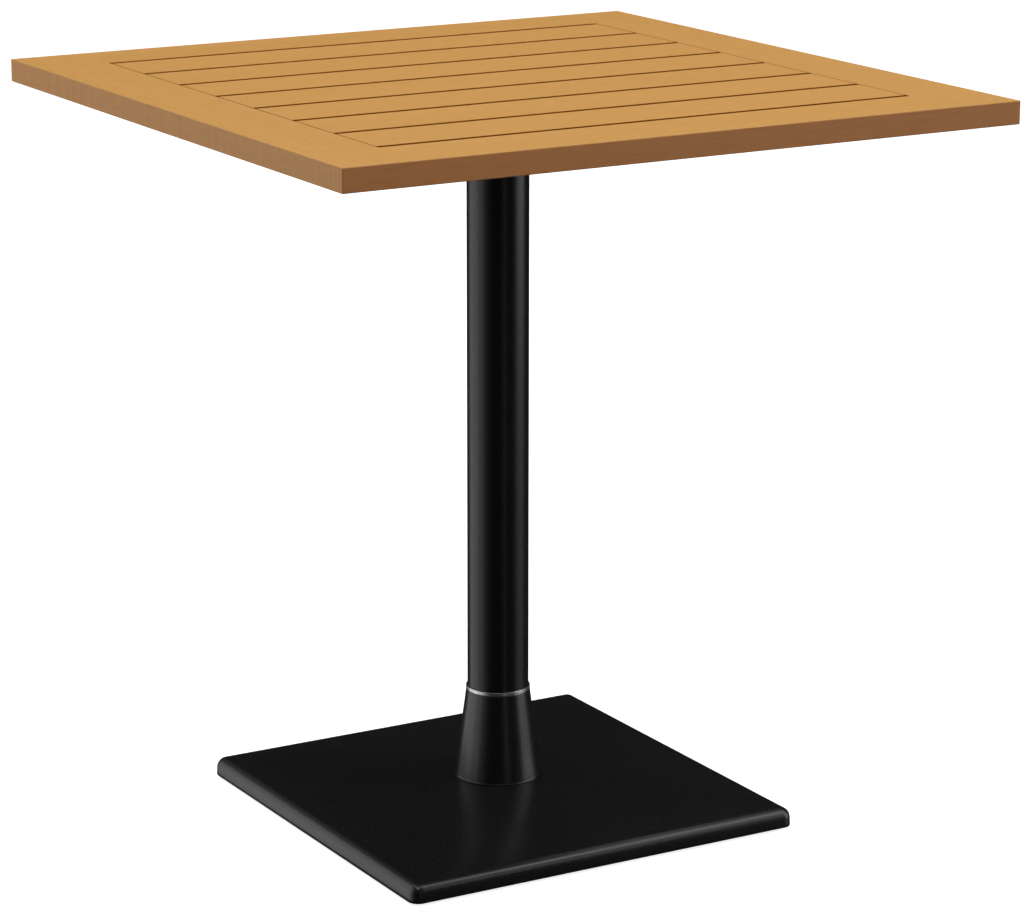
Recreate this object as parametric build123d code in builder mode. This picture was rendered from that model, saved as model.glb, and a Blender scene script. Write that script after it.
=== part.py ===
from build123d import *
import math
import os

os.makedirs("parts", exist_ok=True)

# ---------------------------------------------------------------------------
# Square bistro table: slatted wooden top, round column, crowned square base.
# Millimetres.  Origin on the floor under the column, +Z up, slats along X,
# front of the table towards -Y.
# ---------------------------------------------------------------------------

# Top
TOP_W = 711.2            # square top, both ways (28 in)
TOP_Z = 737.0            # height of the table surface
TOP_T = 22.5             # board thickness
TOP_LOW = TOP_Z - TOP_T
EASE_R = 1.0             # eased edges round the outside of the top
EASE_IN = 0.5            # crisper edges along the gaps
SLAT_N = 7
SLAT_W = 73.7            # seven slats, as wide as the boards of the frame
GAP = 6.0                # drainage gap between boards
PITCH = SLAT_W + GAP
END_IN = 282.1           # inner edge of the end boards
SHOULDER = 280.9         # where the slats' shoulders stop (1.2 mm seam)
TONGUE_T = 8.0           # stub tongue and its groove
TONGUE_W = 60.0
TONGUE_X = 296.8         # end of a tongue
GROOVE_X = 298.1         # bottom of the groove
GROOVE_Y = 322.0         # the groove stops short of the board's ends
TONGUE_Z = TOP_LOW + (TOP_T - TONGUE_T) / 2
RAIL_IN = SLAT_N * PITCH / 2 + GAP / 2     # inner edge of front and back rail
RAIL_W = TOP_W / 2 - RAIL_IN
RAIL_SCREW_Y = 298.0

# Cross bars and their screws
BAR_X = 150.0
BAR_W = 40.0
BAR_T = 5.0
BAR_HALF = 312.0
BAR_LOW = TOP_LOW - BAR_T
SCREW_R = 2.1
SCREW_HEAD_R = 4.2
SCREW_TIP_Z = TOP_LOW + 16.0
PILOT_R = 2.12
SCREW_Y = [-RAIL_SCREW_Y] + [(i - 3) * PITCH for i in range(SLAT_N)] + [RAIL_SCREW_Y]

# Spider
SPIDER_T = 6.0
SPIDER_LOW = BAR_LOW - SPIDER_T
ARM_X = BAR_X
ARM_Y = 1.5 * PITCH      # arm ends lie under a gap between two slats
ARM_W = 34.0
HUB_R = 60.0
SOCKET_R = 38.0
SOCKET_H = 20.0
SPIGOT_R = 28.55
SPIGOT_H = 30.0
BOLT_R = 2.95            # M6

# Column
TUBE_R = 30.6
TUBE_WALL = 2.0
TUBE_FIT = 0.05          # radial clearance on spigots and rings

# Tie rod, nuts and washers (M12)
ROD_R = 5.9
ROD_LOW = 9.0
ROD_TOP = 709.0
NUT_AF = 19.0
NUT_H = 10.0
WASHER_R = 12.0
WASHER_T = 2.5
CBORE_R = 15.0
UPPER_SEAT = SPIDER_LOW + SPIDER_T - 14.0
LOWER_SEAT = 22.0

# Base cover: drafted square tray with a rounded edge and a low crown
BASE_W = 430.3
BASE_GAP = 3.2           # clear height under the rim
BASE_CORNER_R = 11.0
EDGE_R = 10.6
EDGE_TOP = 22.0
CROWN_TOP = 32.7
SHEET = 2.0
# half side, corner radius and height of the sections of the crown
CROWN = [
    (204.0, 8.0, EDGE_TOP),
    (190.0, 28.0, 23.6),
    (165.0, 58.0, 26.0),
    (130.0, 84.0, 28.8),
    (90.0, 80.0, 31.2),
    (46.0, 45.9, CROWN_TOP),
]

# Ballast
BALLAST_W = 406.0
BALLAST_LOW = 8.0
BALLAST_TOP = 19.8
BOSS_R = 42.0
BOSS_TOP = 26.0          # low boss in the middle, the hub stands on it
BASE_SPIGOT_TOP = 62.0

# Conical collar and ring
CONE_FOOT_R = 44.4
CONE_TOP_R = 32.0
CONE_TOP_Z = 122.2
CONE_WALL = 1.5
RING_H = 4.0

# Levelling glides
GLIDE_XY = 160.0
PAD_R = 18.0
PAD_H = 5.2
STEM_R = 3.6
STEM_HOLE_R = 3.65
STEM_TOP = 19.3
HEX_AF = 13.0

# ---------------------------------------------------------------------------
# Wooden top
# ---------------------------------------------------------------------------
for i in range(SLAT_N):
    y0 = (i - 3) * PITCH
    with BuildPart() as slat:
        with BuildSketch(Plane.XY.offset(TOP_LOW)):
            with Locations((0, y0)):
                Rectangle(2 * SHOULDER, SLAT_W)
        extrude(amount=TOP_T)
        fillet(slat.edges().filter_by(Axis.X), EASE_IN)
        # stub tongues that sit in the grooves of the end boards
        with BuildSketch(Plane.XY.offset(TONGUE_Z)):
            with Locations((0, y0)):
                Rectangle(2 * TONGUE_X, TONGUE_W)
        extrude(amount=TONGUE_T)
        # pilot holes for the screws of the two cross bars
        with BuildSketch(Plane.XY.offset(TOP_LOW)):
            with Locations((-BAR_X, y0), (BAR_X, y0)):
                Circle(PILOT_R)
        extrude(amount=SCREW_TIP_Z - TOP_LOW, mode=Mode.SUBTRACT)
    slat.part.label = f"slat_{i + 1}"
    export_step(slat.part, f"parts/slat_{i + 1}.step")

for name, side in (("front_rail", -1), ("back_rail", 1)):
    y_mid = side * (RAIL_IN + RAIL_W / 2)
    with BuildPart() as rail:
        with BuildSketch(Plane.XY.offset(TOP_LOW)):
            with Locations((0, y_mid)):
                Rectangle(2 * END_IN, RAIL_W)
        extrude(amount=TOP_T)
        long_edges = rail.edges().filter_by(Axis.X).sort_by(lambda e: side * e.center().Y)
        fillet(long_edges[2:], EASE_R)
        fillet(rail.edges().filter_by(Axis.X).sort_by(lambda e: side * e.center().Y)[:2], EASE_IN)
        with BuildSketch(Plane.XY.offset(TONGUE_Z)):
            with Locations((0, side * (RAIL_IN + 20.0))):
                Rectangle(2 * TONGUE_X, 34.0)
        extrude(amount=TONGUE_T)
        with BuildSketch(Plane.XY.offset(TOP_LOW)):
            with Locations((-BAR_X, side * RAIL_SCREW_Y), (BAR_X, side * RAIL_SCREW_Y)):
                Circle(PILOT_R)
        extrude(amount=SCREW_TIP_Z - TOP_LOW, mode=Mode.SUBTRACT)
    rail.part.label = name
    export_step(rail.part, f"parts/{name}.step")

for name, side in (("left_end_board", -1), ("right_end_board", 1)):
    board_w = TOP_W / 2 - END_IN
    with BuildPart() as end_board:
        with BuildSketch(Plane.XY.offset(TOP_LOW)):
            with Locations((side * (END_IN + board_w / 2), 0)):
                Rectangle(board_w, TOP_W)
        extrude(amount=TOP_T)
        outer_face = end_board.faces().sort_by(Axis.X)[-1 if side > 0 else 0]
        front_face = end_board.faces().sort_by(Axis.Y)[0]
        back_face = end_board.faces().sort_by(Axis.Y)[-1]
        end_edges = (front_face.edges() + back_face.edges()).filter_by(Axis.X)
        fillet(outer_face.edges() + end_edges, EASE_R)
        # groove for the tongues, stopped short of both ends
        with BuildSketch(Plane.XY.offset(TONGUE_Z)):
            with Locations((side * (END_IN + GROOVE_X) / 2, 0)):
                Rectangle(GROOVE_X - END_IN, 2 * GROOVE_Y)
        extrude(amount=TONGUE_T, mode=Mode.SUBTRACT)
    end_board.part.label = name
    export_step(end_board.part, f"parts/{name}.step")

# ---------------------------------------------------------------------------
# Cross bars under the slats
# ---------------------------------------------------------------------------
for name, side in (("left_cross_bar", -1), ("right_cross_bar", 1)):
    with BuildPart() as cross_bar:
        with BuildSketch(Plane.XY.offset(BAR_LOW)):
            with Locations((side * BAR_X, 0)):
                RectangleRounded(BAR_W, 2 * BAR_HALF, 5.0)
        extrude(amount=BAR_T)
        # countersunk from below
        with Locations(Plane((side * BAR_X, 0, BAR_LOW), x_dir=(1, 0, 0), z_dir=(0, 0, -1))):
            with Locations(*[(0, y) for y in SCREW_Y]):
                CounterSinkHole(SCREW_R + 0.2, SCREW_HEAD_R + 0.2, depth=BAR_T)
        # threaded holes for the spider's bolts
        with BuildSketch(Plane.XY.offset(BAR_LOW)):
            with Locations((side * BAR_X, ARM_Y), (side * BAR_X, -ARM_Y)):
                Circle(BOLT_R + 0.03)
        extrude(amount=BAR_T, mode=Mode.SUBTRACT)
    cross_bar.part.label = name
    export_step(cross_bar.part, f"parts/{name}.step")

with BuildPart() as slat_screws:
    with Locations(*[(s * BAR_X, y, 0) for s in (-1, 1) for y in SCREW_Y]):
        with BuildSketch(Plane.XZ, mode=Mode.PRIVATE) as screw_half:
            with BuildLine():
                Polyline(
                    (0, BAR_LOW + 0.1),
                    (SCREW_HEAD_R, BAR_LOW + 0.1),
                    (SCREW_R, BAR_LOW + 0.1 + SCREW_HEAD_R - SCREW_R),
                    (SCREW_R, SCREW_TIP_Z - 3.2),
                    (0.3, SCREW_TIP_Z - 0.1),
                    (0, SCREW_TIP_Z - 0.1),
                    close=True,
                )
            make_face()
        add(revolve(screw_half.sketch, axis=Axis.Z, mode=Mode.PRIVATE))
    # hexagon sockets in the heads
    with BuildSketch(Plane.XY.offset(BAR_LOW + 0.1)):
        with Locations(*[(s * BAR_X, y) for s in (-1, 1) for y in SCREW_Y]):
            RegularPolygon(1.5, 6, major_radius=False)
    extrude(amount=1.4, mode=Mode.SUBTRACT)
slat_screws.part.label = "slat_screws"
export_step(slat_screws.part, "parts/slat_screws.step")

# ---------------------------------------------------------------------------
# Four-arm spider with the column's socket
# ---------------------------------------------------------------------------
arm_angle = math.degrees(math.atan2(ARM_Y, ARM_X))
arm_length = math.hypot(ARM_X, ARM_Y)
arm_angles = [arm_angle, 180 - arm_angle, 180 + arm_angle, 360 - arm_angle]
with BuildPart() as top_spider:
    with BuildSketch(Plane.XY.offset(SPIDER_LOW)):
        Circle(HUB_R)
        for a in (arm_angle, 180 - arm_angle):
            SlotCenterToCenter(2 * arm_length, ARM_W, rotation=a)
    extrude(amount=SPIDER_T)
    fillet(
        top_spider.edges().filter_by(Axis.Z).sort_by(lambda e: e.center().X**2 + e.center().Y**2)[:8],
        12.0,
    )
    # socket ring and spigot below the hub
    with BuildSketch(Plane.XY.offset(SPIDER_LOW)):
        Circle(SOCKET_R)
        Circle(TUBE_R + TUBE_FIT, mode=Mode.SUBTRACT)
    extrude(amount=-SOCKET_H)
    with BuildSketch(Plane.XY.offset(SPIDER_LOW)):
        Circle(SPIGOT_R)
    extrude(amount=-SPIGOT_H)
    # ribs under the arms
    for a in arm_angles:
        ux, uy = math.cos(math.radians(a)), math.sin(math.radians(a))
        rib_plane = Plane(origin=(0, 0, 0), x_dir=(ux, uy, 0), z_dir=(uy, -ux, 0))
        with BuildSketch(rib_plane):
            with BuildLine():
                Polyline(
                    (SOCKET_R - 1.0, SPIDER_LOW + 1.0),
                    (SOCKET_R - 1.0, SPIDER_LOW - SOCKET_H + 3.0),
                    (arm_length - 28.0, SPIDER_LOW - 2.0),
                    (arm_length - 22.0, SPIDER_LOW + 1.0),
                    close=True,
                )
            make_face()
        extrude(amount=3.0, both=True)
    # rod hole, nut recess and bolt holes
    with BuildSketch(Plane.XY.offset(SPIDER_LOW - SPIGOT_H)):
        Circle(ROD_R + 0.6)
    extrude(amount=SPIGOT_H + SPIDER_T, mode=Mode.SUBTRACT)
    with BuildSketch(Plane.XY.offset(UPPER_SEAT)):
        Circle(CBORE_R)
    extrude(amount=BAR_LOW - UPPER_SEAT, mode=Mode.SUBTRACT)
    with BuildSketch(Plane.XY.offset(SPIDER_LOW)):
        with Locations(*[(sx * ARM_X, sy * ARM_Y) for sx in (-1, 1) for sy in (-1, 1)]):
            Circle(BOLT_R + 0.35)
    extrude(amount=SPIDER_T, mode=Mode.SUBTRACT)
top_spider.part.label = "top_spider"
export_step(top_spider.part, "parts/top_spider.step")

with BuildPart() as spider_washers:
    with BuildSketch(Plane.XY.offset(SPIDER_LOW)):
        with Locations(*[(sx * ARM_X, sy * ARM_Y) for sx in (-1, 1) for sy in (-1, 1)]):
            Circle(6.0)
            Circle(BOLT_R + 0.25, mode=Mode.SUBTRACT)
    extrude(amount=-1.6)
spider_washers.part.label = "spider_washers"
export_step(spider_washers.part, "parts/spider_washers.step")

with BuildPart() as spider_bolts:
    with BuildSketch(Plane.XY.offset(SPIDER_LOW - 5.6)):
        with Locations(*[(sx * ARM_X, sy * ARM_Y) for sx in (-1, 1) for sy in (-1, 1)]):
            RegularPolygon(5.0, 6, major_radius=False)
    extrude(amount=4.0)
    with BuildSketch(Plane.XY.offset(SPIDER_LOW - 1.7)):
        with Locations(*[(sx * ARM_X, sy * ARM_Y) for sx in (-1, 1) for sy in (-1, 1)]):
            Circle(BOLT_R)
    extrude(amount=1.7 + SPIDER_T + BAR_T - 0.3)
    chamfer(spider_bolts.edges().filter_by(GeomType.CIRCLE).group_by(Axis.Z)[-1], 0.5)
spider_bolts.part.label = "spider_bolts"
export_step(spider_bolts.part, "parts/spider_bolts.step")

# ---------------------------------------------------------------------------
# Column, tie rod and its nuts and washers
# ---------------------------------------------------------------------------
with BuildPart() as column_tube:
    with BuildSketch(Plane.XY.offset(CROWN_TOP)):
        Circle(TUBE_R)
        Circle(TUBE_R - TUBE_WALL, mode=Mode.SUBTRACT)
    extrude(amount=SPIDER_LOW - CROWN_TOP)
column_tube.part.label = "column_tube"
export_step(column_tube.part, "parts/column_tube.step")

with BuildPart() as tie_rod:
    with BuildSketch(Plane.XY.offset(ROD_LOW)):
        Circle(ROD_R)
    extrude(amount=ROD_TOP - ROD_LOW)
    chamfer(tie_rod.edges().filter_by(GeomType.CIRCLE), 0.8)
tie_rod.part.label = "tie_rod"
export_step(tie_rod.part, "parts/tie_rod.step")

for name, z in (
    ("upper_washer", UPPER_SEAT),
    ("lower_washer", LOWER_SEAT - WASHER_T),
):
    with BuildPart() as washer:
        with BuildSketch(Plane.XY.offset(z)):
            Circle(WASHER_R)
            Circle(ROD_R + 0.5, mode=Mode.SUBTRACT)
        extrude(amount=WASHER_T)
        chamfer(washer.edges().filter_by(GeomType.CIRCLE).group_by(SortBy.RADIUS)[-1], 0.3)
    washer.part.label = name
    export_step(washer.part, f"parts/{name}.step")

for name, z in (
    ("upper_nut", UPPER_SEAT + WASHER_T),
    ("lower_nut", LOWER_SEAT - WASHER_T - NUT_H),
):
    with BuildPart() as nut:
        with BuildSketch(Plane.XY.offset(z)):
            RegularPolygon(NUT_AF / 2, 6, major_radius=False)
            Circle(ROD_R + 0.02, mode=Mode.SUBTRACT)
        extrude(amount=NUT_H)
        # corners turned down to a cone at both ends
        with BuildSketch(Plane.XZ):
            with BuildLine():
                Polyline(
                    (0, z),
                    (NUT_AF / 2 - 0.2, z),
                    (NUT_AF / 2 + 1.9, z + 1.1),
                    (NUT_AF / 2 + 1.9, z + NUT_H - 1.1),
                    (NUT_AF / 2 - 0.2, z + NUT_H),
                    (0, z + NUT_H),
                    close=True,
                )
            make_face()
        revolve(axis=Axis.Z, mode=Mode.INTERSECT)
    nut.part.label = name
    export_step(nut.part, f"parts/{name}.step")

# ---------------------------------------------------------------------------
# Base: pressed cover, cast ballast, hub, conical collar and ring
# ---------------------------------------------------------------------------
with BuildPart() as cover_hollow:
    with BuildSketch(Plane.XY.offset(BASE_GAP - 5.0)):
        RectangleRounded(BASE_W - 2 * SHEET, BASE_W - 2 * SHEET, BASE_CORNER_R - SHEET)
    extrude(amount=EDGE_TOP - SHEET - BASE_GAP + 5.0)
    fillet(cover_hollow.faces().sort_by(Axis.Z)[-1].edges(), EDGE_R - SHEET)
    for half, corner, z in CROWN:
        with BuildSketch(Plane.XY.offset(z - SHEET)):
            RectangleRounded(2 * half, 2 * half, corner)
    loft()

with BuildPart() as base_cover:
    with BuildSketch(Plane.XY.offset(BASE_GAP)):
        RectangleRounded(BASE_W, BASE_W, BASE_CORNER_R)
    extrude(amount=EDGE_TOP - BASE_GAP)
    fillet(base_cover.faces().sort_by(Axis.Z)[-1].edges(), EDGE_R)
    for half, corner, z in CROWN:
        with BuildSketch(Plane.XY.offset(z)):
            RectangleRounded(2 * half, 2 * half, corner)
    loft()
    add(cover_hollow.part, mode=Mode.SUBTRACT)
    # hole for the spigot
    with BuildSketch(Plane.XY.offset(EDGE_TOP)):
        Circle(SPIGOT_R + 0.25)
    extrude(amount=20.0, mode=Mode.SUBTRACT)
base_cover.part.label = "base_cover"
export_step(base_cover.part, "parts/base_cover.step")

with BuildPart() as ballast_plate:
    with BuildSketch(Plane.XY.offset(BALLAST_LOW)):
        RectangleRounded(BALLAST_W, BALLAST_W, 10.0)
    extrude(amount=BALLAST_TOP - BALLAST_LOW)
    chamfer(ballast_plate.faces().sort_by(Axis.Z)[0].edges(), 1.5)
    with BuildSketch(Plane.XY.offset(BALLAST_TOP)):
        Circle(BOSS_R)
    extrude(amount=BOSS_TOP - BALLAST_TOP)
    with BuildSketch(Plane.XY.offset(BALLAST_LOW)):
        Circle(ROD_R + 0.6)
    extrude(amount=BOSS_TOP - BALLAST_LOW, mode=Mode.SUBTRACT)
    with BuildSketch(Plane.XY.offset(BALLAST_LOW)):
        Circle(CBORE_R)
    extrude(amount=LOWER_SEAT - BALLAST_LOW, mode=Mode.SUBTRACT)
    # threaded holes of the levelling glides
    with BuildSketch(Plane.XY.offset(BALLAST_LOW)):
        with GridLocations(2 * GLIDE_XY, 2 * GLIDE_XY, 2, 2):
            Circle(STEM_HOLE_R)
    extrude(amount=BALLAST_TOP - BALLAST_LOW, mode=Mode.SUBTRACT)
ballast_plate.part.label = "ballast_plate"
export_step(ballast_plate.part, "parts/ballast_plate.step")

with BuildPart() as base_hub:
    # flange under the cover, spigot up inside the column
    with BuildSketch(Plane.XZ):
        with BuildLine():
            Polyline(
                (ROD_R + 0.6, BOSS_TOP),
                (BOSS_R, BOSS_TOP),
                (BOSS_R, CROWN_TOP - SHEET),
                (SPIGOT_R, CROWN_TOP - SHEET),
                (SPIGOT_R, BASE_SPIGOT_TOP - 1.5),
                (SPIGOT_R - 1.5, BASE_SPIGOT_TOP),
                (ROD_R + 0.6, BASE_SPIGOT_TOP),
                close=True,
            )
        make_face()
    revolve(axis=Axis.Z)
base_hub.part.label = "base_hub"
export_step(base_hub.part, "parts/base_hub.step")

with BuildPart() as base_collar:
    with BuildSketch(Plane.XZ):
        with BuildLine():
            Polyline(
                (CONE_FOOT_R - CONE_WALL, CROWN_TOP),
                (CONE_FOOT_R - 0.3, CROWN_TOP),
                (CONE_FOOT_R, CROWN_TOP + 0.3),
                (CONE_FOOT_R, CROWN_TOP + 1.0),
                (CONE_TOP_R, CONE_TOP_Z),
                (TUBE_R + TUBE_FIT, CONE_TOP_Z),
                (TUBE_R + TUBE_FIT, CONE_TOP_Z - 5.0),
                (CONE_FOOT_R - CONE_WALL, CROWN_TOP + 6.0),
                close=True,
            )
        make_face()
    revolve(axis=Axis.Z)
base_collar.part.label = "base_collar"
export_step(base_collar.part, "parts/base_collar.step")

with BuildPart() as collar_ring:
    with BuildSketch(Plane.XZ):
        with BuildLine():
            Polyline(
                (TUBE_R + TUBE_FIT, CONE_TOP_Z),
                (CONE_TOP_R - 0.1, CONE_TOP_Z),
                (CONE_TOP_R + 0.1, CONE_TOP_Z + 0.4),
                (CONE_TOP_R + 0.1, CONE_TOP_Z + RING_H - 1.4),
                (CONE_TOP_R - 0.3, CONE_TOP_Z + RING_H - 0.3),
                (CONE_TOP_R - 0.8, CONE_TOP_Z + RING_H),
                (TUBE_R + TUBE_FIT, CONE_TOP_Z + RING_H),
                close=True,
            )
        make_face()
    revolve(axis=Axis.Z)
collar_ring.part.label = "collar_ring"
export_step(collar_ring.part, "parts/collar_ring.step")

# ---------------------------------------------------------------------------
# Levelling glides: a pad that stands on the floor and a stem that turns in it
# ---------------------------------------------------------------------------
for name, sx, sy in (
    ("front_left", -1, -1),
    ("front_right", 1, -1),
    ("back_left", -1, 1),
    ("back_right", 1, 1),
):
    gx, gy = sx * GLIDE_XY, sy * GLIDE_XY
    glide_axis = Axis((gx, gy, 0), (0, 0, 1))
    glide_plane = Plane(origin=(gx, gy, 0), x_dir=(1, 0, 0), z_dir=(0, -1, 0))
    with BuildPart() as glide_pad:
        with BuildSketch(glide_plane):
            with BuildLine():
                Polyline(
                    (0, 0),
                    (PAD_R - 1.0, 0),
                    (PAD_R, 1.0),
                    (PAD_R, 3.2),
                    (PAD_R - 2.0, PAD_H),
                    (8.1, PAD_H),
                    (8.1, 3.2),
                    (3.05, 3.2),
                    (3.05, 1.6),
                    (0, 1.6),
                    close=True,
                )
            make_face()
        revolve(axis=glide_axis)
    glide_pad.part.label = f"{name}_glide_pad"
    export_step(glide_pad.part, f"parts/{name}_glide_pad.step")

    with BuildPart() as glide_stem:
        with BuildSketch(Plane.XY.offset(1.65)):
            with Locations((gx, gy)):
                Circle(3.0)
        extrude(amount=1.65)
        with BuildSketch(Plane.XY.offset(3.25)):
            with Locations((gx, gy)):
                RegularPolygon(HEX_AF / 2, 6, major_radius=False)
        extrude(amount=4.7)
        with BuildSketch(Plane.XY.offset(7.9)):
            with Locations((gx, gy)):
                Circle(STEM_R)
        extrude(amount=STEM_TOP - 7.9)
        chamfer(glide_stem.edges().filter_by(GeomType.CIRCLE).sort_by(Axis.Z)[-1], 0.6)
    glide_stem.part.label = f"{name}_glide_stem"
    export_step(glide_stem.part, f"parts/{name}_glide_stem.step")
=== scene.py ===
import math
import bpy
import bmesh
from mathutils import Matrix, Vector


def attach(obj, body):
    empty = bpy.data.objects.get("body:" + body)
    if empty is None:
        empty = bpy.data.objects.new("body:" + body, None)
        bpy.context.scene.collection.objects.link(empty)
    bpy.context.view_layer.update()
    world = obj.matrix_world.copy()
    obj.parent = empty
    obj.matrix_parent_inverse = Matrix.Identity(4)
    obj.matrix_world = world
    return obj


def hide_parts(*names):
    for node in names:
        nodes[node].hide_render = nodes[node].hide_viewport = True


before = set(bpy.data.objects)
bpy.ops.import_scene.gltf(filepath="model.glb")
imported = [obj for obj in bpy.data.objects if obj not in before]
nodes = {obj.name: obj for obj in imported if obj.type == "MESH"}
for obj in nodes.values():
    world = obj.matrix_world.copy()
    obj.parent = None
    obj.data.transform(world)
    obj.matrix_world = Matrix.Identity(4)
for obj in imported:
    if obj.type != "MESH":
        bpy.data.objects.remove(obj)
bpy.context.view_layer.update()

MM = 0.001
# lamp powers in watts, and the strength of the plain world
L_TOP, L_LEFT, L_CORE, L_LEFT2, L_SOFT, L_RIGHT, L_RIGHT2 = 64.5, 100.0, 9.0, 25.0, 5.5, 170.0, 10.5
L_STRIP, L_FRONT, L_UNDER, L_HIGH, L_MID, L_BACK, L_WORLD = 2.5, 20.0, 9.0, 22.0, 6.0, 2.4, 0.019
scene = bpy.context.scene
coll = scene.collection

# ---------------------------------------------------------------------------
# small helpers
# ---------------------------------------------------------------------------


def new_object(name, mesh):
    o = bpy.data.objects.new(name, mesh)
    coll.objects.link(o)
    return o


def mesh_from(name, verts, faces, sharp_deg=32.0):
    me = bpy.data.meshes.new(name)
    me.from_pydata([tuple(c * MM for c in v) for v in verts], [], faces)
    me.validate()
    bm = bmesh.new()
    bm.from_mesh(me)
    bmesh.ops.recalc_face_normals(bm, faces=bm.faces)
    bm.to_mesh(me)
    bm.free()
    for p in me.polygons:
        p.use_smooth = True
    me.set_sharp_from_angle(angle=math.radians(sharp_deg))
    me.update()
    return new_object(name, me)


def lathe(name, profile, seg=160, centre=(0.0, 0.0), sharp_deg=32.0):
    """A closed profile of (r, z) in millimetres, turned round a vertical axis."""
    verts, faces = [], []
    n = len(profile)
    rings = []
    for r, z in profile:
        if r < 1e-6:
            rings.append([len(verts)])
            verts.append((centre[0], centre[1], z))
        else:
            ring = []
            for k in range(seg):
                a = 2 * math.pi * k / seg
                ring.append(len(verts))
                verts.append((centre[0] + r * math.cos(a), centre[1] + r * math.sin(a), z))
            rings.append(ring)
    for i in range(n):
        a, b = rings[i], rings[(i + 1) % n]
        if len(a) == 1 and len(b) == 1:
            continue
        for k in range(seg):
            k2 = (k + 1) % seg
            if len(a) == 1:
                faces.append((a[0], b[k], b[k2]))
            elif len(b) == 1:
                faces.append((a[k], a[k2], b[0]))
            else:
                faces.append((a[k], a[k2], b[k2], b[k]))
    return mesh_from(name, verts, faces, sharp_deg)


def arc(cx, cz, r, a0, a1, n):
    """Points of an arc in a profile, degrees, from a0 to a1."""
    return [
        (
            cx + r * math.cos(math.radians(a0 + (a1 - a0) * i / n)),
            cz + r * math.sin(math.radians(a0 + (a1 - a0) * i / n)),
        )
        for i in range(n + 1)
    ]


# ---------------------------------------------------------------------------
# node-material helpers
# ---------------------------------------------------------------------------


class Mat:
    def __init__(self, name):
        self.mat = bpy.data.materials.new(name)
        self.mat.use_nodes = True
        self.nt = self.mat.node_tree
        self.nt.nodes.clear()
        self.out = self.nt.nodes.new("ShaderNodeOutputMaterial")
        self.bsdf = self.nt.nodes.new("ShaderNodeBsdfPrincipled")
        self.link(self.bsdf.outputs[0], self.out.inputs["Surface"])
        self.tc = self.nt.nodes.new("ShaderNodeTexCoord")

    def link(self, a, b):
        self.nt.links.new(a, b)

    def set(self, **kw):
        for k, v in kw.items():
            self.bsdf.inputs[k.replace("_", " ")].default_value = v

    def node(self, kind, **kw):
        n = self.nt.nodes.new(kind)
        for k, v in kw.items():
            setattr(n, k, v)
        return n

    def mapping(self, scale=(1, 1, 1), loc=(0, 0, 0), rot=(0, 0, 0), src=None):
        m = self.node("ShaderNodeMapping")
        m.inputs["Scale"].default_value = scale
        m.inputs["Location"].default_value = loc
        m.inputs["Rotation"].default_value = rot
        self.link(src or self.tc.outputs["Object"], m.inputs["Vector"])
        return m.outputs["Vector"]

    def noise(self, vec, scale=5.0, detail=4.0, rough=0.55, distort=0.0, lac=2.0):
        n = self.node("ShaderNodeTexNoise")
        n.inputs["Scale"].default_value = scale
        n.inputs["Detail"].default_value = detail
        n.inputs["Roughness"].default_value = rough
        n.inputs["Lacunarity"].default_value = lac
        n.inputs["Distortion"].default_value = distort
        self.link(vec, n.inputs["Vector"])
        return n.outputs["Fac"]

    def ramp(self, fac, stops, interp="LINEAR"):
        r = self.node("ShaderNodeValToRGB")
        r.color_ramp.interpolation = interp
        el = r.color_ramp.elements
        while len(el) > len(stops):
            el.remove(el[-1])
        while len(el) < len(stops):
            el.new(0.5)
        for e, (p, c) in zip(el, stops):
            e.position = p
            e.color = (*c, 1.0) if len(c) == 3 else c
        self.link(fac, r.inputs["Fac"])
        return r.outputs["Color"]

    def math(self, op, a, b=None, c=None, clamp=False):
        n = self.node("ShaderNodeMath", operation=op, use_clamp=clamp)
        for i, v in enumerate((a, b, c)):
            if v is None:
                continue
            if isinstance(v, (int, float)):
                n.inputs[i].default_value = v
            else:
                self.link(v, n.inputs[i])
        return n.outputs[0]

    def mix(self, fac, a, b, mode="MIX"):
        n = self.node("ShaderNodeMix", data_type="RGBA", blend_type=mode)
        for sock, v in ((n.inputs[0], fac), (n.inputs[6], a), (n.inputs[7], b)):
            if isinstance(v, (int, float)):
                sock.default_value = v
            elif isinstance(v, (tuple, list)):
                sock.default_value = (*v, 1.0) if len(v) == 3 else v
            else:
                self.link(v, sock)
        return n.outputs[2]

    def maprange(self, v, a, b, c, d, smooth=False):
        n = self.node("ShaderNodeMapRange")
        if smooth:
            n.interpolation_type = "SMOOTHSTEP"
        for i, x in zip((1, 2, 3, 4), (a, b, c, d)):
            n.inputs[i].default_value = x
        self.link(v, n.inputs[0])
        return n.outputs[0]

    def bump(self, height, strength=0.2, distance=0.001, normal=None):
        n = self.node("ShaderNodeBump")
        n.inputs["Strength"].default_value = strength
        n.inputs["Distance"].default_value = distance
        self.link(height, n.inputs["Height"])
        if normal is not None:
            self.link(normal, n.inputs["Normal"])
        return n.outputs["Normal"]

    def xyz(self, src=None):
        n = self.node("ShaderNodeSeparateXYZ")
        self.link(src or self.tc.outputs["Object"], n.inputs[0])
        return n.outputs[0], n.outputs[1], n.outputs[2]


def give(obj, material):
    if obj.data.materials:
        for i in range(len(obj.data.materials)):
            obj.data.materials[i] = material
    else:
        obj.data.materials.append(material)


# ---------------------------------------------------------------------------
# camera: the photograph's view of the table
# ---------------------------------------------------------------------------
cam_data = bpy.data.cameras.new("camera")
cam = bpy.data.objects.new("camera", cam_data)
coll.objects.link(cam)
cam.location = (-1.7691, -3.0672, 1.28355)
cam.rotation_euler = (math.radians(90 - 14.466), 0.0, math.radians(-29.975))
cam_data.sensor_width = 36.0
cam_data.lens = 129.184
cam_data.shift_x = 0.01753
cam_data.shift_y = -0.00969
cam_data.clip_end = 100.0
scene.camera = cam

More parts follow.
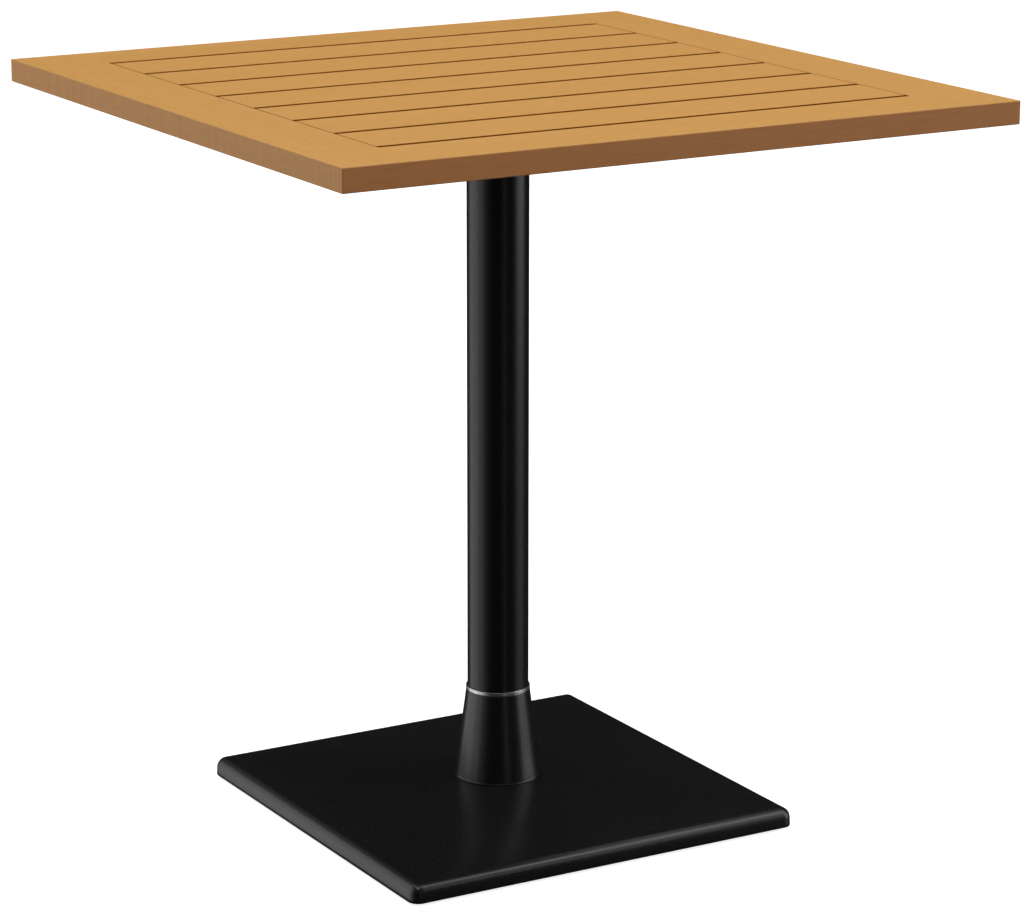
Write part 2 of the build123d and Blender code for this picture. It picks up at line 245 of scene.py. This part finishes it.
# ---------------------------------------------------------------------------
# materials
# ---------------------------------------------------------------------------
WOOD = (0.65, 0.342, 0.093)
EDGE_X_PAINTED_LIGHT = (0.907, 0.838, 1.0)      # painted light: tint of the edges that face left and right, for how the light falls on them
EDGE_Y_PAINTED_LIGHT = (0.830, 0.675, 0.853)    # painted light: tint of the edges that face front and back, for how the light falls on them
# painted shade for the walls of the gaps between the boards
GAP_PAINTED_SHADE = (0.40, 0.165, 0.004)
# painted shade for the top faces' edges beside the gaps
LIP_PAINTED_SHADE = (0.50, 0.36, 0.08)


def figure(m, along, seed, tone):
    """Colour, fibre height and pores of wood whose grain runs along X or Y."""
    # coordinates are squeezed along the grain
    s = (0.055, 1.0, 1.0) if along == "X" else (1.0, 0.055, 1.0)
    base = m.mapping(scale=s, loc=(seed * 1.7, seed * 2.3, seed * 0.9))
    # slow waver of the fibres
    wav = m.node("ShaderNodeTexNoise")
    wav.inputs["Scale"].default_value = 14.0
    wav.inputs["Detail"].default_value = 2.0
    m.link(base, wav.inputs["Vector"])
    add = m.node("ShaderNodeVectorMath", operation="MULTIPLY_ADD")
    m.link(wav.outputs["Color"], add.inputs[0])
    add.inputs[1].default_value = (0.010, 0.010, 0.010)
    m.link(base, add.inputs[2])
    vec = add.outputs[0]
    broad = m.noise(vec, scale=26.0, detail=3.0, rough=0.5)      # soft figure
    fibre = m.noise(vec, scale=560.0, detail=5.0, rough=0.65)    # fine fibre
    pore_v = m.mapping(scale=(0.35, 1, 1) if along == "X" else (1, 0.35, 1), src=vec)
    pore = m.noise(pore_v, scale=1700.0, detail=2.0, rough=0.5)  # open pores
    r, g, b = (c * tone for c in WOOD)
    col = m.ramp(
        broad,
        [
            (0.30, (r * 0.985, g * 0.975, b * 0.955)),
            (0.50, (r, g, b)),
            (0.72, (r * 1.012, g * 1.018, b * 1.03)),
        ],
    )
    fib = m.ramp(fibre, [(0.32, (0.925, 0.90, 0.86)), (0.50, (1, 1, 1)), (0.70, (1.02, 1.025, 1.03))])
    col = m.mix(1.0, col, fib, "MULTIPLY")
    pmask = m.maprange(pore, 0.65, 0.75, 0.0, 1.0, smooth=True)
    col = m.mix(m.math("MULTIPLY", pmask, 0.30), col, (r * 0.64, g * 0.54, b * 0.42))
    return col, fibre, pmask


def wood(name, along="X", seed=0.0, tone=1.0):
    """Smooth honey-coloured board with a very fine, low-contrast grain along X or Y."""
    m = Mat(name)
    geo = m.node("ShaderNodeNewGeometry")
    nx, ny, nz = (m.math("ABSOLUTE", v) for v in m.xyz(geo.outputs["Normal"]))
    x, y, z = m.xyz()
    col, fibre, pmask = figure(m, along, seed, tone)
    faces_x = m.maprange(nx, 0.6, 0.8, 0.0, 1.0, smooth=True)
    faces_y = m.maprange(ny, 0.6, 0.8, 0.0, 1.0, smooth=True)
    if along == "Y":
        # the ends of the end boards run on from the rails beside them
        col2, fibre2, pmask2 = figure(m, "X", 3.1 + 1.37 * 7, tone)
        col = m.mix(faces_y, col, col2)
        # fine upright planing marks on their long edges
        lines = m.noise(m.mapping(scale=(0.0, 1.0, 0.012)), scale=210.0, detail=3.0, rough=0.6)
        marks = m.ramp(lines, [(0.34, (0.935, 0.925, 0.91)), (0.52, (1, 1, 1)), (0.70, (1.03, 1.035, 1.04))])
        col = m.mix(faces_x, col, m.mix(1.0, col, marks, "MULTIPLY"))
        fibre = m.math("ADD", fibre, m.math("MULTIPLY", m.math("MULTIPLY", lines, faces_x), 1.2))
    # painted light: the boards' edges are tinted for the light that falls on them
    plain = col
    col = m.mix(faces_x, col, m.mix(1.0, plain, EDGE_X_PAINTED_LIGHT, "MULTIPLY"))
    col = m.mix(faces_y, col, m.mix(1.0, plain, EDGE_Y_PAINTED_LIGHT, "MULTIPLY"))
    # painted shade: the walls of the gaps, and the undersides inside the frame, are painted darker and given little
    # sheen
    inner = m.math("MULTIPLY", m.math("LESS_THAN", m.math("ABSOLUTE", x), 0.2826),
                   m.math("LESS_THAN", m.math("ABSOLUTE", y), 0.2824))
    wall = m.maprange(nz, 0.55, 0.97, 1.0, 0.0, smooth=True)
    gap_shade = m.math("MULTIPLY", inner, wall)
    if along == "X":
        # painted shade: the top faces' edges beside the gaps are painted darker too
        turn = m.math("FRACT", m.math("ADD", m.math("DIVIDE", y, 0.0797), 0.5))
        off = m.math("MULTIPLY", m.math("ABSOLUTE", m.math("SUBTRACT", turn, 0.5)), 0.0797)
        lip = m.math("MULTIPLY", m.maprange(off, 0.0356, 0.0364, 0.0, 1.0, smooth=True),
                     m.math("MULTIPLY", m.math("LESS_THAN", m.math("ABSOLUTE", x), 0.2826),
                            m.math("LESS_THAN", m.math("ABSOLUTE", y), 0.2836)))
        col = m.mix(m.math("MULTIPLY", lip, 0.75), col, m.mix(1.0, plain, LIP_PAINTED_SHADE, "MULTIPLY"))
    col = m.mix(gap_shade, col, m.mix(1.0, plain, GAP_PAINTED_SHADE, "MULTIPLY"))
    m.link(col, m.bsdf.inputs["Base Color"])
    rough = m.maprange(fibre, 0.3, 0.7, 0.60, 0.50)
    m.link(rough, m.bsdf.inputs["Roughness"])
    h = m.math("SUBTRACT", m.math("MULTIPLY", fibre, 0.5), m.math("MULTIPLY", pmask, 0.8))
    m.link(m.bump(h, 0.25, 0.00015), m.bsdf.inputs["Normal"])
    m.set(IOR=1.45)
    # painted shade: the gaps also lose most of their sheen
    m.link(m.maprange(gap_shade, 0.0, 1.0, 0.30, 0.04), m.bsdf.inputs["Specular IOR Level"])
    return m.mat


def powder(name, rgb, rough, rough_var=0.05, grain=900.0, bump=0.25, dist=0.00006, spec=0.5):
    """Black powder coat: fine orange-peel texture and a little variation in its gloss."""
    m = Mat(name)
    v = m.mapping()
    peel = m.noise(v, scale=grain, detail=3.0, rough=0.6)
    cloud = m.noise(v, scale=9.0, detail=4.0, rough=0.55)
    speck = m.noise(v, scale=grain * 2.7, detail=1.0, rough=0.5)
    col = m.ramp(cloud, [(0.3, tuple(c * 0.94 for c in rgb)), (0.7, tuple(c * 1.07 for c in rgb))])
    m.link(col, m.bsdf.inputs["Base Color"])
    rr = m.math("ADD", m.maprange(cloud, 0.3, 0.7, rough - rough_var, rough + rough_var),
                m.maprange(speck, 0.3, 0.7, -0.03, 0.03))
    m.link(rr, m.bsdf.inputs["Roughness"])
    m.link(m.bump(peel, bump, dist), m.bsdf.inputs["Normal"])
    m.bsdf.inputs["Specular IOR Level"].default_value = spec
    return m.mat


def steel(name, rgb, rough, scratch=600.0, along_z=False, bump=0.12):
    """Bare or plated steel with fine turning or brushing marks."""
    m = Mat(name)
    v = m.mapping(scale=(0.05, 0.05, 1.0) if along_z else (1.0, 1.0, 0.08))
    marks = m.noise(v, scale=scratch * 4, detail=3.0, rough=0.6)
    cloud = m.noise(m.mapping(), scale=60.0, detail=3.0)
    col = m.ramp(cloud, [(0.3, tuple(c * 0.9 for c in rgb)), (0.7, tuple(min(1, c * 1.06) for c in rgb))])
    m.link(col, m.bsdf.inputs["Base Color"])
    m.link(m.maprange(marks, 0.3, 0.7, rough - 0.06, rough + 0.08), m.bsdf.inputs["Roughness"])
    m.link(m.bump(marks, bump, 0.00003), m.bsdf.inputs["Normal"])
    m.set(Metallic=1.0)
    return m.mat


def casting(name, rgb):
    m = Mat(name)
    v = m.mapping()
    grit = m.noise(v, scale=700.0, detail=6.0, rough=0.7)
    lumps = m.noise(v, scale=90.0, detail=3.0)
    rust = m.noise(v, scale=22.0, detail=6.0, rough=0.65)
    col = m.ramp(grit, [(0.3, tuple(c * 0.7 for c in rgb)), (0.7, tuple(c * 1.5 for c in rgb))])
    col = m.mix(m.math("MULTIPLY", m.maprange(rust, 0.60, 0.72, 0.0, 1.0, True), 0.35), col, (0.055, 0.028, 0.014))
    m.link(col, m.bsdf.inputs["Base Color"])
    m.link(m.maprange(grit, 0.3, 0.7, 0.78, 0.62), m.bsdf.inputs["Roughness"])
    h = m.math("ADD", m.math("MULTIPLY", grit, 0.5), m.math("MULTIPLY", lumps, 0.8))
    m.link(m.bump(h, 0.5, 0.0004), m.bsdf.inputs["Normal"])
    return m.mat


def plastic(name, rgb, rough=0.5):
    m = Mat(name)
    v = m.mapping()
    tex = m.noise(v, scale=1600.0, detail=2.0)
    scuff = m.noise(m.mapping(scale=(1, 0.2, 1)), scale=240.0, detail=4.0, rough=0.7)
    col = m.ramp(scuff, [(0.45, rgb), (0.75, tuple(c * 1.9 for c in rgb))])
    m.link(col, m.bsdf.inputs["Base Color"])
    m.link(m.maprange(scuff, 0.4, 0.75, rough, rough + 0.2), m.bsdf.inputs["Roughness"])
    m.link(m.bump(tex, 0.3, 0.00008), m.bsdf.inputs["Normal"])
    return m.mat


m_column = powder("column_black", (0.0078, 0.0078, 0.0080), 0.29, 0.02, grain=900.0, bump=0.22, dist=0.00005, spec=0.46)
m_collar = powder("collar_black", (0.0060, 0.0060, 0.0062), 0.29, 0.02, grain=900.0, bump=0.22, dist=0.00005, spec=0.60)
m_base = powder("base_black", (0.0078, 0.0081, 0.0086), 0.28, 0.012, grain=800.0, bump=0.25, dist=0.00005)
m_under = powder("under_black", (0.014, 0.014, 0.014), 0.55, 0.05, grain=700.0, bump=0.4, dist=0.0001)
m_ring = steel("ring_steel", (0.62, 0.61, 0.60), 0.30, along_z=True)
m_zinc = steel("zinc_steel", (0.56, 0.57, 0.58), 0.36)
m_cast = casting("cast_ballast", (0.022, 0.022, 0.022))
m_nylon = plastic("glide_nylon", (0.02, 0.02, 0.02))

boards_x = [f"slat_{i}" for i in range(1, 8)] + ["front_rail", "back_rail"]
boards_y = ["left_end_board", "right_end_board"]
for i, n in enumerate(boards_x):
    give(nodes[n], wood("wood_" + n, "X", seed=3.1 + 1.37 * i, tone=1.0 + 0.006 * math.sin(2.1 * i)))
for i, n in enumerate(boards_y):
    give(nodes[n], wood("wood_" + n, "Y", seed=17.3 + 1.91 * i, tone=1.0))
for n in ("left_cross_bar", "right_cross_bar", "top_spider"):
    give(nodes[n], m_under)
for n in ("slat_screws", "spider_bolts", "spider_washers", "tie_rod", "upper_nut", "upper_washer", "lower_nut", "lower_washer"):
    give(nodes[n], m_zinc)
for n in ("ballast_plate", "base_hub"):
    give(nodes[n], m_cast)
for c in ("front_left", "front_right", "back_left", "back_right"):
    give(nodes[c + "_glide_pad"], m_nylon)
    give(nodes[c + "_glide_stem"], m_zinc)

# ---------------------------------------------------------------------------
# base cover: one continuous crowned skin, rim, rounded edge and inside
# ---------------------------------------------------------------------------
HALF = 215.15
RIM_Z = 3.2
EDGE_R = 10.6
EDGE_TOP = 22.0
SHEET = 2.0
CROWN = [
    (204.55, 2.0, 22.0),
    (190.0, 28.0, 23.6),
    (165.0, 58.0, 26.0),
    (130.0, 84.0, 28.8),
    (90.0, 80.0, 31.2),
    (46.0, 46.0, 32.7),
]


def hermite(xs, ys, x):
    """Monotone cubic through the given points."""
    n = len(xs)
    d = [(ys[i + 1] - ys[i]) / (xs[i + 1] - xs[i]) for i in range(n - 1)]
    m = [d[0]] + [0.0 if d[i - 1] * d[i] <= 0 else 2 * d[i - 1] * d[i] / (d[i - 1] + d[i]) for i in range(1, n - 1)] + [d[-1]]
    for i in range(n - 1):
        if x <= xs[i + 1] or i == n - 2:
            h = xs[i + 1] - xs[i]
            t = (x - xs[i]) / h
            return ((2 * t**3 - 3 * t**2 + 1) * ys[i] + (t**3 - 2 * t**2 + t) * h * m[i]
                    + (-2 * t**3 + 3 * t**2) * ys[i + 1] + (t**3 - t**2) * h * m[i + 1])


def rounded_square_ray(half, rho, a):
    """Distance from the centre to a rounded square's outline along direction a."""
    c, s = abs(math.cos(a)), abs(math.sin(a))
    if c < s:
        c, s = s, c
    # flat side x = half, |y| <= half - rho
    y = half * s / c if c > 0 else 0
    if y <= half - rho:
        return half / c
    q = half - rho
    b = q * (c + s)
    return b + math.sqrt(max(0.0, b * b - 2 * q * q + rho * rho))


thetas = []
for k in range(4):
    # quarter from a side's middle to the next one's, dense at the corner
    q = []
    for i in range(20):
        q.append(math.atan2(-204.0 + 408.0 * i / 20, 215.0))
    for i in range(14):
        a = math.radians(-0 + 90.0 * i / 14)
        q.append(math.atan2(204.15 + 11.0 * math.sin(a), 204.15 + 11.0 * math.cos(a)))
    thetas += [t + k * math.pi / 2 for t in q]
thetas = sorted(t % (2 * math.pi) for t in thetas)


def cover_rings():
    rings = []
    # outer side, from the rim up, with a small rounded lip and a slight draft
    for dz, dr in ((0.0, 1.0), (0.3, 0.3), (1.0, 0.0)):
        rings.append((HALF - dr, 11.0 - dr, RIM_Z + dz))
    rings.append((HALF - 0.15, 10.9, RIM_Z + 4.5))
    n = 14
    end = 84.0
    for i in range(n + 1):
        a = math.radians(end * i / n)
        r = HALF - 0.25 - EDGE_R * (1 - math.cos(a))
        rings.append((r, max(10.85 - EDGE_R * (1 - math.cos(a)), 0.6), EDGE_TOP - EDGE_R + EDGE_R * math.sin(a)))
    # crown
    s_in = [c[0] for c in CROWN][::-1]
    z_in = [c[2] for c in CROWN][::-1]
    r_in = [c[1] for c in CROWN][::-1]
    z_in[-1] = rings[-1][2] + 0.12
    s_in[-1] = rings[-1][0] - 1.0
    r_in[-1] = 1.6
    steps = 40
    for i in range(steps + 1):
        s = s_in[-1] + (s_in[0] - s_in[-1]) * i / steps
        rings.append((s, min(hermite(s_in, r_in, s), s), hermite(s_in, z_in, s)))
    rings.append((28.8, 28.8, 32.7))
    # inside
    rings.append((28.8, 28.8, 32.7 - SHEET))
    inner = []
    for i in range(0, steps + 1, 4):
        s = s_in[-1] + (s_in[0] - s_in[-1]) * i / steps
        inner.append((s, min(hermite(s_in, r_in, s), s), hermite(s_in, z_in, s) - SHEET))
    rings += inner[::-1]
    for i in range(8, -1, -1):
        a = math.radians(end * i / 8)
        R = EDGE_R - SHEET
        rings.append((HALF - 0.25 - SHEET - R * (1 - math.cos(a)), max(8.85 - R * (1 - math.cos(a)), 0.5), EDGE_TOP - EDGE_R + R * math.sin(a)))
    rings.append((HALF - SHEET + 0.3, 9.3, RIM_Z + 0.3))
    rings.append((HALF - SHEET + 0.6, 9.6, RIM_Z))
    return rings


verts, faces = [], []
rings = cover_rings()
N = len(thetas)
for half, rho, z in rings:
    for a in thetas:
        d = rounded_square_ray(half, rho, a)
        verts.append((d * math.cos(a), d * math.sin(a), z))
for i in range(len(rings)):
    j = (i + 1) % len(rings)
    for k in range(N):
        k2 = (k + 1) % N
        faces.append((i * N + k, i * N + k2, j * N + k2, j * N + k))
cover = mesh_from("base_cover_skin", verts, faces, 40.0)
give(cover, m_base)
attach(cover, "table")
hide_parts("base_cover")

# ---------------------------------------------------------------------------
# column, collar and ring, turned with fine rounded edges
# ---------------------------------------------------------------------------
tube = lathe(
    "column_tube_turned",
    [(28.8, 32.7), (30.3, 32.7), (30.6, 33.0), (30.6, 703.2), (30.3, 703.5), (28.8, 703.5)],
    seg=192,
)
give(tube, m_column)
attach(tube, "table")
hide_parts("column_tube")

collar = lathe(
    "base_collar_turned",
    [(42.9, 32.75)]
    + arc(43.9, 33.2, 0.45, -90, 0, 4)
    + arc(43.75, 33.45, 0.63, 0, 78, 8)
    + [(43.72 - 11.74 * t, 34.35 + 87.25 * t) for t in (0.0, 0.003, 0.01, 0.25, 0.5, 0.75, 0.99, 1.0)]
    + arc(31.5, 121.7, 0.45, 10, 90, 4)
    + [(30.7, 122.15), (30.7, 117.2), (42.9, 38.7)],
    seg=192,
)
give(collar, m_collar)
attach(collar, "table")
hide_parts("base_collar")

ring = lathe(
    "collar_ring_turned",
    [(30.66, 122.25)] + arc(31.6, 122.7, 0.45, -90, 0, 6) + [(32.05, 122.9), (32.05, 125.4)]
    + arc(31.6, 125.6, 0.45, 0, 90, 6) + [(31.4, 126.05), (30.66, 126.05)],
    seg=192,
)
give(ring, m_ring)
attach(ring, "table")
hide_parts("collar_ring")

# ---------------------------------------------------------------------------
# floor, world and soft studio light
# ---------------------------------------------------------------------------
me = bpy.data.meshes.new("studio_floor")
# a round floor that turns up into a plain wall far away, as in a studio
turns = [2 * math.pi * k / 96 for k in range(96)]
low = [(30 * math.cos(a), 30 * math.sin(a), 0) for a in turns]
high = [(30 * math.cos(a), 30 * math.sin(a), 30) for a in turns]
me.from_pydata(low + high, [], [tuple(range(96))] + [(k, (k + 1) % 96, 96 + (k + 1) % 96, 96 + k) for k in range(96)])
floor = new_object("studio_floor", me)
fm = Mat("studio_floor")
fm.set(Roughness=0.9)
fm.bsdf.inputs["Base Color"].default_value = (0.80, 0.80, 0.80, 1)
fm.bsdf.inputs["Specular IOR Level"].default_value = 0.0
fm.bsdf.inputs["Emission Color"].default_value = (1, 1, 1, 1)
far = fm.node("ShaderNodeVectorMath", operation="LENGTH")
fm.link(fm.tc.outputs["Object"], far.inputs[0])
fm.link(fm.maprange(far.outputs["Value"], 0.2, 1.2, 0.86, 1.06, smooth=True), fm.bsdf.inputs["Emission Strength"])
give(floor, fm.mat)
# the floor is seen and takes shadows, but is no lamp and no mirror image
floor.visible_glossy = False
floor.visible_diffuse = False
floor.visible_shadow = False

world = bpy.data.worlds.new("studio")
scene.world = world
world.use_nodes = True
bg = world.node_tree.nodes["Background"]
bg.inputs["Color"].default_value = (1, 1, 1, 1)
bg.inputs["Strength"].default_value = L_WORLD


def softbox(name, loc, target, size, power, color=(1, 1, 1), glossy=True):
    ld = bpy.data.lights.new(name, "AREA")
    ld.shape = "RECTANGLE"
    ld.size, ld.size_y = size
    ld.energy = power
    ld.color = color
    o = bpy.data.objects.new(name, ld)
    coll.objects.link(o)
    o.location = loc
    d = Vector(target) - Vector(loc)
    o.rotation_euler = d.to_track_quat("-Z", "Y").to_euler()
    o.visible_glossy = glossy
    return o


def around(az_deg, dist, z):
    """A point at this azimuth from the table; 0 is the front view's side, + is to that view's right."""
    t = math.atan2(-3.0672, -1.7691) + math.radians(az_deg)
    return (dist * math.cos(t), dist * math.sin(t), z)


softbox("top_box", (0, 0, 3.0), (0, 0, 0.5), (4.0, 4.0), L_TOP)
softbox("left_box", around(-101, 4.5, 1.3), (0, 0, 1.3), (4.4, 6.4), L_LEFT)
softbox("left_core", around(-88, 4.5, 1.3), (0, 0, 1.3), (1.7, 6.4), L_CORE)
softbox("left_wide", around(-64, 4.5, 1.3), (0, 0, 1.3), (1.3, 6.4), L_LEFT2)
softbox("left_soft", around(-46, 4.5, 1.3), (0, 0, 1.3), (1.4, 6.4), L_SOFT)
softbox("right_box", around(90, 6.0, 2.65), (0, 0, 2.65), (4.0, 6.3), L_RIGHT)
softbox("right_low", around(90, 6.0, -1.6), (0, 0, -1.6), (4.0, 2.2), L_RIGHT2)
softbox("front_strip", around(25, 4.0, 0.6), (0, 0, 0.6), (0.5, 4.0), L_STRIP)
softbox("front_fill", around(0, 2.6, 4.2), (0, 0, 0.1), (0.6, 0.6), L_FRONT)
softbox("high_right", around(92, 3.2, 3.8), (0, 0, 0.1), (2.3, 1.3), L_HIGH)
softbox("back_left", around(-141, 4.2, 2.3), (0, 0, 0.1), (2.4, 2.0), L_BACK)
softbox("right_mid", around(60, 5.0, 2.6), (0, 0, 0.1), (1.0, 1.6), L_MID)
softbox("under_fill", (0, 0, -1.2), (0, 0, 0.5), (3.0, 3.0), L_UNDER, glossy=False)

scene.view_settings.view_transform = "Standard"
scene.view_settings.look = "None"
